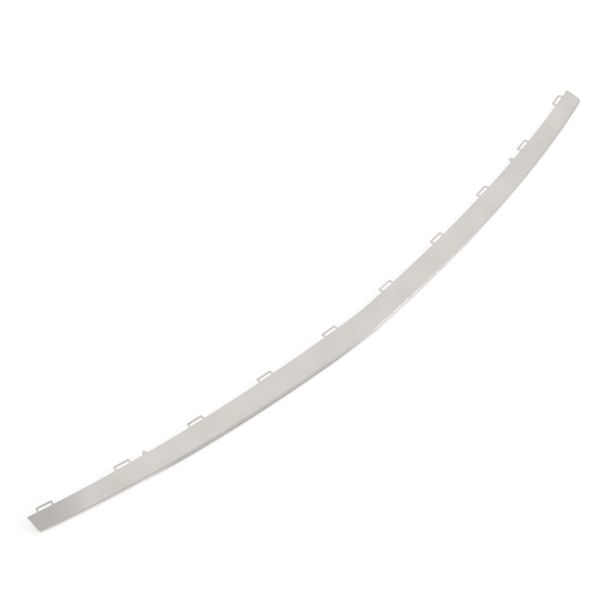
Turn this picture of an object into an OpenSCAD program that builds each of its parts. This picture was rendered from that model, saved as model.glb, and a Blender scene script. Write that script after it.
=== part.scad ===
// Bumper moulding: one long slim trim strip with a soft V nose, moulded in one piece.
// A sloping show face stands on a narrow upright rim, and a return flange behind its upper edge
// carries a row of snap loops and two locating teeth.
// X runs along the strip, Y points back from the nose and Z is up. The strip stands on the
// flat foot of its rim, and the origin is in the middle of that foot at the nose.

/* [Plan shape] */
// Straight distance between the two ends of the crease, before the end cuts
span = 1355; // [1100:5:1600]
// Sweep of each half back from the nose, in degrees
nose_angle = 2.6; // [0:0.1:6]
// Length over which the nose is rounded, to each side
nose_blend = 5; // [4:1:40]
// Depth that the even bow adds at the ends
bow_depth = 77; // [40:1:120]
// Depth that the tighter curl of the tips adds at the ends
tip_sweep = 11; // [0:0.5:30]

/* [Section] */
// Width of the show face at the nose, across its slope
face_w = 43.5; // [35:0.5:58]
// Width of the show face at the ends, across its slope
face_end_w = 33; // [28:0.5:48]
// Lean of the show face back from upright, in degrees
face_lean = 71.5; // [55:0.5:76]
// Bulge of the show face above a straight line from edge to edge
face_crown = 0.7; // [0.2:0.1:1.5]
// Wall thickness of the face and the rim
wall = 2.5; // [2:0.1:3.5]
// Height of the upright rim below the crease
rim_h = 5.5; // [4:0.5:9]
// Leg of the groove that parts the face from the rim
crease_w = 1.2; // [0.4:0.1:1.4]
// Height of the return flange behind the upper edge
return_h = 7; // [6:0.5:10]
// Thickness of the return flange
return_t = 2; // [1.5:0.1:3]
// Radius of the upper edge
top_r = 1.2; // [0.6:0.1:1.6]

/* [Ends] */
// Distance that the end cut leans in from the upper corner to the crease
end_rake = 8.5; // [0:0.5:12]
// Radius of the rounded lower corner
end_r = 9; // [4:0.5:12]

/* [Snap loops] */
// Number of snap loops
loop_count = 10; // [4:2:10]
// Distance of the outermost loops from the ends of the crease, along it
loop_inset = 34; // [25:1:45]
// Length of a loop along the strip
loop_w = 30; // [22:0.5:36]
// Reach of a loop behind the upper edge
loop_reach = 9.3; // [8.5:0.1:12]
// Width of a loop's bar
loop_bar = 2.8; // [1.8:0.1:3.4]
// Width of a loop's legs
loop_leg = 3; // [2:0.1:4]
// Thickness of a loop, upright
loop_t = 2; // [1.6:0.1:3]
// Drop of a loop's top below the upper edge
loop_drop = 0.6; // [0.4:0.1:2]
// Radius of a loop's outer corners
loop_r = 2.5; // [0.5:0.1:3]

/* [Locating teeth] */
// Distance of each tooth from the second loop, towards the nose
tooth_gap = 43; // [30:1:60]
// Width of a tooth at its root
tooth_w = 13; // [8:0.5:16]
// Width of a tooth at its tip
tooth_tip_w = 2.4; // [1.5:0.1:4]
// Reach of a tooth behind the upper edge
tooth_reach = 10; // [6:0.5:14]
// Thickness of a tooth, upright
tooth_t = 2; // [1.5:0.1:3]
// Drop of a tooth's top below the upper edge
tooth_drop = 3; // [2.5:0.1:3.5]

/* [Hidden] */
$fn = 24;

half = span / 2;
// The loft overruns the end cuts, which trim it back
overrun = 8;
// Stations to each side of the nose, closer together near it
stations = 46;
station_power = 1.6;
face_steps = 6;
edge_steps = 4;
corner_steps = 6;
table_steps = 200;
// Length of the cutters past what they cut
clear = 30;
// Depth that a loop or a tooth is sunk in the return flange
root = return_t / 2;

// Distance that the crease line lies behind the nose, at x
function plan_y(x) = tan(nose_angle) * (norm([x, nose_blend]) - nose_blend)
    + bow_depth * pow(x / half, 2) + tip_sweep * pow(x / half, 4);

// Direction of the crease line at x, in degrees
function plan_angle(x) = atan(tan(nose_angle) * x / norm([x, nose_blend])
    + 2 * bow_depth * x / pow(half, 2) + 4 * tip_sweep * pow(x, 3) / pow(half, 4));

// Width of the show face at x
function face_at(x) = face_w - (face_w - face_end_w) * pow(x / half, 2);

// Direction of the face's upper edge at x, in degrees: the taper turns it from the crease line
function edge_angle(x) = plan_angle(x)
    - atan(2 * (face_w - face_end_w) * x / pow(half, 2) * sin(face_lean));

// Table of [length along the crease, x] from the nose to the end
table_step = half / table_steps;
table = [for (i = 0, x = 0, s = 0; i <= table_steps;
        i = i + 1,
        s = s + norm([table_step, plan_y(x + table_step) - plan_y(x)]),
        x = x + table_step) [s, x]];

// Position x at a length s along the crease from the nose
function x_at(s) = sign(s) * lookup(abs(s), table);

// The loops share out the length between the two outermost ones evenly
loop_pitch = 2 * (table[table_steps][0] - loop_inset) / (loop_count - 1);
tooth_at = (loop_count - 3) / 2 * loop_pitch - tooth_gap;

// Unit vectors in the section plane, as [back, up]: up the slope of the face, and in through it
up_face = [sin(face_lean), cos(face_lean)];
in_face = [cos(face_lean), -sin(face_lean)];
crease = [0, rim_h];

// Point of the face at a share f of its width w, at a depth below its outer skin
function face_point(f, w, depth) = crease + f * w * up_face
    + (depth - 4 * face_crown * f * (1 - f)) * in_face;

// Closed outline of the section for a face of width w, as [back, up] from the crease line
function section(w) = let (
        peak = crease + w * up_face,
        // Shares of the width where the inner skin meets the rim and the return flange
        inner_low = wall * tan(face_lean / 2) / w,
        inner_high = 1 - (return_t / sin(face_lean) + wall / tan(face_lean)) / w,
        // Centre of the rounding that joins the face to the flange's rear
        turn = 90 - face_lean,
        centre = peak + [-top_r, -top_r * tan(45 + turn / 2)],
        // Share of the width where the groove's leg ends on the face
        groove = crease_w / w
    ) concat(
        [[0, 0], [0, rim_h - crease_w]],
        [crease + crease_w * [cos(face_lean / 2), -sin(face_lean / 2)]],
        [for (i = [0 : face_steps - 1])
            face_point(groove + (1 - 2 * groove) * i / face_steps, w, 0)],
        [for (i = [0 : edge_steps])
            let (a = 90 + turn - (90 + turn) * i / edge_steps) centre + top_r * [cos(a), sin(a)]],
        [peak + [0, -return_h], peak + [-return_t, -return_h]],
        [for (i = [0 : face_steps])
            let (f = inner_high + (inner_low - inner_high) * i / face_steps) face_point(f, w, wall)],
        [[wall, 0]]
    );

// Stations of the loft from end to end
xs = [for (i = [-stations : stations])
    sign(i) * (half + overrun) * pow(abs(i) / stations, station_power)];

// A point [back, up] of the section, placed at x
function place(x, p) = [x - p.x * sin(plan_angle(x)), plan_y(x) + p.x * cos(plan_angle(x)), p.y];

// Frame on the upper edge of the face, at a length s along the crease, with its Y straight back
module at_upper_edge(s) {
    x = x_at(s);
    translate(place(x, crease + face_at(x) * up_face)) rotate([0, 0, edge_angle(x)]) children();
}

// Rim, show face and return flange, carried along the crease line
module strip() {
    rings = [for (x = xs) [for (p = section(face_at(x))) place(x, p)]];
    n = len(rings[0]);
    last = len(rings) - 1;
    sides = [for (i = [0 : last - 1], j = [0 : n - 1])
        let (a = i * n + j, b = i * n + (j + 1) % n) each [[a, b, a + n], [b, b + n, a + n]]];
    caps = [[for (j = [n - 1 : -1 : 0]) j], [for (j = [0 : n - 1]) last * n + j]];
    polyhedron(points = [for (r = rings) each r], faces = concat(sides, caps));
}

// What the right-hand end cut takes away: all that lies past a raked line with a rounded corner
module end_cutter() {
    w = face_at(half);
    rake = atan(end_rake / w);
    // The rim's foot, seen square to the face
    foot = -rim_h * cos(face_lean);
    centre_y = foot + end_r;
    centre = [-(w - centre_y) * tan(rake) - end_r / cos(rake), centre_y];
    outline = concat(
        [[clear, w + clear], [clear * tan(rake), w + clear]],
        [for (i = [0 : corner_steps])
            let (a = -rake - (90 - rake) * i / corner_steps) centre + end_r * [cos(a), sin(a)]],
        [[centre.x, foot - clear], [clear, foot - clear]]
    );
    translate(place(half, crease)) rotate([0, 0, plan_angle(half)]) rotate([90 - face_lean, 0, 0])
        translate([0, 0, -clear]) linear_extrude(2 * clear) polygon(outline);
}

// One snap loop: two legs and a bar behind them, round a window
module snap_loop() {
    translate([0, 0, -loop_drop - loop_t]) linear_extrude(loop_t) difference() {
        union() {
            translate([-loop_w / 2, -root]) square([loop_w, loop_reach - loop_r + root]);
            translate([-loop_w / 2 + loop_r, 0]) square([loop_w - 2 * loop_r, loop_reach]);
            for (side = [-1, 1])
                translate([side * (loop_w / 2 - loop_r), loop_reach - loop_r]) circle(loop_r);
        }
        translate([-loop_w / 2 + loop_leg, -return_t])
            square([loop_w - 2 * loop_leg, loop_reach - loop_bar + return_t]);
    }
}

// One locating tooth, tapered towards its tip
module tooth() {
    translate([0, 0, -tooth_drop - tooth_t]) linear_extrude(tooth_t)
        polygon([[-tooth_w / 2, -root], [tooth_w / 2, -root],
            [tooth_tip_w / 2, tooth_reach], [-tooth_tip_w / 2, tooth_reach]]);
}

module moulding() {
    color([0.80, 0.79, 0.77]) translate([0, -wall / 2, 0]) {
        difference() {
            strip();
            end_cutter();
            mirror([1, 0, 0]) end_cutter();
        }
        for (i = [0 : loop_count - 1])
            at_upper_edge((i - (loop_count - 1) / 2) * loop_pitch) snap_loop();
        for (side = [-1, 1]) at_upper_edge(side * tooth_at) tooth();
    }
}

moulding();
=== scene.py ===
import math

import bpy
from mathutils import Matrix, Vector

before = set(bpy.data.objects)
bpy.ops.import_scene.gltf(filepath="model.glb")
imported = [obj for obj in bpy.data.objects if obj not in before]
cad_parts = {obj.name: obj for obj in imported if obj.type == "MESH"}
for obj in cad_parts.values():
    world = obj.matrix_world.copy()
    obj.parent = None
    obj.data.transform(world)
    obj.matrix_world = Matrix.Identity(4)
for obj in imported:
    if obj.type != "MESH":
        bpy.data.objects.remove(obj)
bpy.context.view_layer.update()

print("frame loaded:", sorted(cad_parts))


# Each channel: below 0.04045 it is divided by 12.92, above it ((c + 0.055) / 1.055) to the power 2.4
def srgbToLinear(hexColour):
    channels = [int(hexColour[i:i + 2], 16) / 255 for i in (1, 3, 5)]
    return [c / 12.92 if c <= 0.04045 else ((c + 0.055) / 1.055) ** 2.4 for c in channels] + [1.0]


white = srgbToLinear("#ffffff")


# Adds one node. An input, by its name or its number, is a plain value or a socket to link from
def addNode(tree, kind, inputs=None, **settings):
    node = tree.nodes.new(kind)
    for name, value in settings.items():
        setattr(node, name, value)
    for name, value in (inputs or {}).items():
        if isinstance(value, bpy.types.NodeSocket):
            tree.links.new(value, node.inputs[name])
        else:
            node.inputs[name].default_value = value
    return node


def newMaterial(name):
    material = bpy.data.materials.new(name)
    material.use_nodes = True
    material.node_tree.nodes.clear()
    return material, material.node_tree


# Camera: the photograph's view, turned a little on its own axis
cameraView = {
    "azimuth": -34.39,            # degrees round the strip, 0 looks along +Y
    "elevation": 43.36,           # degrees above the floor
    "roll": -13.16,               # degrees, the strip climbs to the right
    "distance": 3.2,              # metres from the point it aims at
    "aim": (-0.0705, 0.1128, 0.0564),    # metres
    "lens": 111.07,               # mm
    "sensor": 36.0,               # mm
    "clip": (0.1, 50.0),          # metres, nearest and farthest that it sees
}


def makeCamera(view):
    azimuth, elevation = math.radians(view["azimuth"]), math.radians(view["elevation"])
    back = Vector((math.sin(azimuth) * math.cos(elevation),
                   -math.cos(azimuth) * math.cos(elevation),
                   math.sin(elevation)))
    data = bpy.data.cameras.new("camera")
    data.lens = view["lens"]
    data.sensor_width = view["sensor"]
    data.clip_start, data.clip_end = view["clip"]
    camera = bpy.data.objects.new("camera", data)
    level = (-back).to_track_quat("-Z", "Y").to_matrix()
    turn = level @ Matrix.Rotation(math.radians(view["roll"]), 3, "Z")
    place = Matrix.Translation(Vector(view["aim"]) + back * view["distance"])
    camera.matrix_world = place @ turn.to_4x4()
    bpy.context.scene.collection.objects.link(camera)
    bpy.context.scene.camera = camera


makeCamera(cameraView)
print("camera set")

# Satin chrome: ABS, injection moulded, then plated with satin nickel under a thin layer of chrome.
# It gives the eye a pale, slightly warm metal with a broad soft sheen and no sharp reflection.
# The mould isn't polished behind the show side, so the plating is duller on the rear and the
# inner side, and darker on the rear. The darker colour on surfaces that face down and in the
# groove is painted shade.
satinChrome = {
    "colour": "#e9e4e1",
    "shade": "#dbd8d3",           # second tone of the cloudy plating
    "dullAndShade": "#c2bfba",            # duller plating on the rear, painted shade on surfaces that face down and in the groove
    "grooveShare": 0.6,           # part of the dull colour that is painted into the groove as shade
    "groove": (0.0041, 0.0060),   # metres above the floor, the band of the painted groove shade
    "underDullAndShadeNormal": (-0.6, -0.1),  # upward part of the normal, from all dull and shaded to neither
    "rearNormal": (0.4, 0.8),     # backward part of the normal, from not dull to all dull
    "roughness": 0.18,
    "roughnessSpread": 0.04,      # between the smooth and the rough clouds
    "dullRoughness": 0.4,
    "cloud": 0.05,                # metres across one cloud of the plating
    "cloudRange": (0.3, 0.7),     # noise levels of the first and the second tone
    "grain": 0.0015,              # metres, the real grain is 0.05 mm and is drawn coarse to show
    "grainDepth": 0.000006,       # metres
    "grainShare": 0.4,            # part that the grain has in the tone
    "edgeRadius": 0.0008,         # metres, all edges of a moulding are slightly rounded
    "edgeSamples": 10,
}


def makeSatinChrome(finish):
    material, tree = newMaterial("satinChrome")
    point = addNode(tree, "ShaderNodeTexCoord")
    place = point.outputs["Object"]

    # The clouds have two tones and two degrees of roughness, and the grain joins in the tone
    noise = addNode(tree, "ShaderNodeTexNoise", {
        "Vector": place, "Scale": 1 / finish["cloud"], "Detail": 3.0, "Roughness": 0.5})
    clouds = addNode(tree, "ShaderNodeMapRange", {
        "Value": noise.outputs["Fac"],
        "From Min": finish["cloudRange"][0], "From Max": finish["cloudRange"][1]})
    grain = addNode(tree, "ShaderNodeTexNoise", {
        "Vector": place, "Scale": 1 / finish["grain"], "Detail": 2.0})
    mottle = addNode(tree, "ShaderNodeMix", {
        0: finish["grainShare"], 2: clouds.outputs[0], 3: grain.outputs["Fac"]})
    tone = addNode(tree, "ShaderNodeMix", {
        0: mottle.outputs[0], 6: srgbToLinear(finish["colour"]),
        7: srgbToLinear(finish["shade"])}, data_type="RGBA")
    sheen = addNode(tree, "ShaderNodeMapRange", {
        "Value": clouds.outputs[0],
        "To Min": finish["roughness"] - finish["roughnessSpread"] / 2,
        "To Max": finish["roughness"] + finish["roughnessSpread"] / 2})

    # 1 on surfaces that face down or back, less in the groove and 0 on the rest of the show side.
    # On the rear this is duller plating; facing down and in the groove it is painted shade
    height = addNode(tree, "ShaderNodeSeparateXYZ", {"Vector": place}).outputs["Z"]
    low, high = finish["groove"]
    middle, halfWidth = (low + high) / 2, (high - low) / 2
    off = addNode(tree, "ShaderNodeMath", {0: height, 1: middle}, operation="SUBTRACT").outputs[0]
    away = addNode(tree, "ShaderNodeMath", {0: off}, operation="ABSOLUTE").outputs[0]
    groove = addNode(tree, "ShaderNodeMapRange", {
        "Value": away, "From Min": halfWidth / 2, "From Max": halfWidth,
        "To Min": finish["grooveShare"], "To Max": 0.0})
    facing = addNode(tree, "ShaderNodeSeparateXYZ", {"Vector": point.outputs["Normal"]})
    underDullAndShade = addNode(tree, "ShaderNodeMapRange", {
        "Value": facing.outputs["Z"], "From Min": finish["underDullAndShadeNormal"][0],
        "From Max": finish["underDullAndShadeNormal"][1], "To Min": 1.0, "To Max": 0.0})
    rear = addNode(tree, "ShaderNodeMapRange", {
        "Value": facing.outputs["Y"], "From Min": finish["rearNormal"][0],
        "From Max": finish["rearNormal"][1]})
    rearDullAndUnderShade = addNode(tree, "ShaderNodeMath", {
        0: underDullAndShade.outputs[0], 1: rear.outputs[0]}, operation="MAXIMUM").outputs[0]
    dullAndShadeMask = addNode(tree, "ShaderNodeMath", {
        0: groove.outputs[0], 1: rearDullAndUnderShade}, operation="MAXIMUM").outputs[0]
    # Dull colour: duller plating on the rear, painted shade on surfaces that face down and in the
    # groove
    colour = addNode(tree, "ShaderNodeMix", {
        0: dullAndShadeMask, 6: tone.outputs[2], 7: srgbToLinear(finish["dullAndShade"])}, data_type="RGBA")
    roughness = addNode(tree, "ShaderNodeMix", {
        0: dullAndShadeMask, 2: sheen.outputs[0], 3: finish["dullRoughness"]})

    # The grain stands on normals that are rounded over the edges
    rounded = addNode(tree, "ShaderNodeBevel", {"Radius": finish["edgeRadius"]},
                      samples=finish["edgeSamples"])
    bump = addNode(tree, "ShaderNodeBump", {
        "Height": grain.outputs["Fac"], "Distance": finish["grainDepth"], "Strength": 1.0,
        "Normal": rounded.outputs[0]})

    metal = addNode(tree, "ShaderNodeBsdfPrincipled", {
        "Base Color": colour.outputs[2], "Metallic": 1.0, "Roughness": roughness.outputs[0],
        "Normal": bump.outputs[0]})
    addNode(tree, "ShaderNodeOutputMaterial", {"Surface": metal.outputs[0]})
    return material


chrome = makeSatinChrome(satinChrome)
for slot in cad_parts["moulding"].material_slots:
    slot.material = chrome
print("satin chrome on the moulding")

# Floor: matt white paper. Its glow brings the open floor up to white, and the shadow on it stays
whiteFloor = {
    "size": 40.0,                    # metres
    "colour": "#c4c4c4",
    "glow": (0.615, 0.70),           # beside the strip, and where the panel and the lamp reach less
    "glowPlace": (1.0, 4.0),         # metres from the origin, where those two glows are
    "contactReach": 0.008,           # metres, how near the strip's foot the glow fades, a painted contact shadow
    "contactOpen": (0.45, 0.95),     # open share round a point that leaves it no glow, and all of it
    "contactFrom": (-0.50, -0.42),   # metres along X, the painted contact shadow comes in here
    "contactTo": (-0.10, 0.02),      # and goes out here; the painted shadow lies only between these
    "contactSamples": 16,
}


def makeFloor(look):
    material, tree = newMaterial("whitePaper")
    paper = addNode(tree, "ShaderNodeBsdfDiffuse", {"Color": srgbToLinear(look["colour"])})
    # Camera, glossy and transmission rays see the floor as white, and its shadow stays
    rays = addNode(tree, "ShaderNodeLightPath")
    first = addNode(tree, "ShaderNodeMath", {
        0: rays.outputs["Is Camera Ray"], 1: rays.outputs["Is Glossy Ray"]}, operation="MAXIMUM")
    seen = addNode(tree, "ShaderNodeMath", {
        0: first.outputs[0], 1: rays.outputs["Is Transmission Ray"]}, operation="MAXIMUM")
    place = addNode(tree, "ShaderNodeTexCoord").outputs["Object"]
    away = addNode(tree, "ShaderNodeVectorMath", {0: place}, operation="LENGTH")
    level = addNode(tree, "ShaderNodeMapRange", {
        "Value": away.outputs["Value"],
        "From Min": look["glowPlace"][0], "From Max": look["glowPlace"][1],
        "To Min": look["glow"][0], "To Max": look["glow"][1]})

    # Painted contact shadow: the glow fades at the foot of the strip, on a stretch along X only
    near = addNode(tree, "ShaderNodeAmbientOcclusion", {"Distance": look["contactReach"]},
                   samples=look["contactSamples"])
    lit = addNode(tree, "ShaderNodeMapRange", {
        "Value": near.outputs["AO"],
        "From Min": look["contactOpen"][0], "From Max": look["contactOpen"][1]})
    along = addNode(tree, "ShaderNodeSeparateXYZ", {"Vector": place}).outputs["X"]
    comesIn = addNode(tree, "ShaderNodeMapRange", {
        "Value": along, "From Min": look["contactFrom"][0], "From Max": look["contactFrom"][1]})
    goesOut = addNode(tree, "ShaderNodeMapRange", {
        "Value": along, "From Min": look["contactTo"][0], "From Max": look["contactTo"][1],
        "To Min": 1.0, "To Max": 0.0})
    share = addNode(tree, "ShaderNodeMath", {
        0: comesIn.outputs[0], 1: goesOut.outputs[0]}, operation="MULTIPLY")
    paintedContactShadow = addNode(tree, "ShaderNodeMix", {0: share.outputs[0], 2: 1.0, 3: lit.outputs[0]})
    openGlow = addNode(tree, "ShaderNodeMath", {
        0: level.outputs[0], 1: paintedContactShadow.outputs[0]}, operation="MULTIPLY")
    strength = addNode(tree, "ShaderNodeMath", {
        0: seen.outputs[0], 1: openGlow.outputs[0]}, operation="MULTIPLY")
    glow = addNode(tree, "ShaderNodeEmission", {
        "Color": white, "Strength": strength.outputs[0]})
    both = addNode(tree, "ShaderNodeAddShader", {0: paper.outputs[0], 1: glow.outputs[0]})
    addNode(tree, "ShaderNodeOutputMaterial", {"Surface": both.outputs[0]})

    half = look["size"] / 2
    mesh = bpy.data.meshes.new("floor")
    mesh.from_pydata([(-half, -half, 0), (half, -half, 0), (half, half, 0), (-half, half, 0)],
                     [], [(0, 1, 2, 3)])
    mesh.materials.append(material)
    floor = bpy.data.objects.new("floor", mesh)
    bpy.context.scene.collection.objects.link(floor)


makeFloor(whiteFloor)
print("floor laid")

# World: even light from all round
evenLight = {
    "strength": 0.58,
    "seenStrength": 1.0,          # white, for the camera
}


def makeWorld(light):
    world = bpy.data.worlds.new("studio")
    world.use_nodes = True
    tree = world.node_tree
    tree.nodes.clear()
    rays = addNode(tree, "ShaderNodeLightPath")
    # The camera sees white past the floor's edge
    strength = addNode(tree, "ShaderNodeMapRange", {
        "Value": rays.outputs["Is Camera Ray"], "To Min": light["strength"],
        "To Max": light["seenStrength"]})
    sky = addNode(tree, "ShaderNodeBackground", {
        "Color": white, "Strength": strength.outputs[0]})
    addNode(tree, "ShaderNodeOutputWorld", {"Surface": sky.outputs[0]})
    bpy.context.scene.world = world


makeWorld(evenLight)

# Wide soft panel overhead, which shines straight down. The left end of the strip reflects what is
# past the panel's edge, so the face darkens there
softPanel = {
    "shape": "RECTANGLE",
    "size": (3.3, 3.2),              # metres
    "place": (1.43, 0.69, 1.8),      # metres
    "turn": -18.0,                   # degrees, sets its edge square to the reflections
    "power": 9.5,                    # watts
}

# Low lamp in front, to the right. It gives the crease its highlight beside the nose
frontLamp = {
    "shape": "DISK",
    "size": (1.6, 1.6),              # metres
    "place": (2.31, -3.20, 2.37),    # metres
    "aim": (0.0, 0.0, 0.0),          # metres, the point it shines at
    "power": 36.0,                   # watts
}


def makeLight(name, light, rotation):
    data = bpy.data.lights.new(name, "AREA")
    data.shape = light["shape"]
    data.size, data.size_y = light["size"]
    data.energy = light["power"]
    lamp = bpy.data.objects.new(name, data)
    lamp.location = light["place"]
    lamp.rotation_euler = rotation
    bpy.context.scene.collection.objects.link(lamp)


makeLight("softPanel", softPanel, (0, 0, math.radians(softPanel["turn"])))
towards = Vector(frontLamp["aim"]) - Vector(frontLamp["place"])
makeLight("frontLamp", frontLamp, towards.to_track_quat("-Z", "Y").to_euler())
bpy.context.scene.view_settings.view_transform = "Standard"
print("studio lit")

print("scene built")
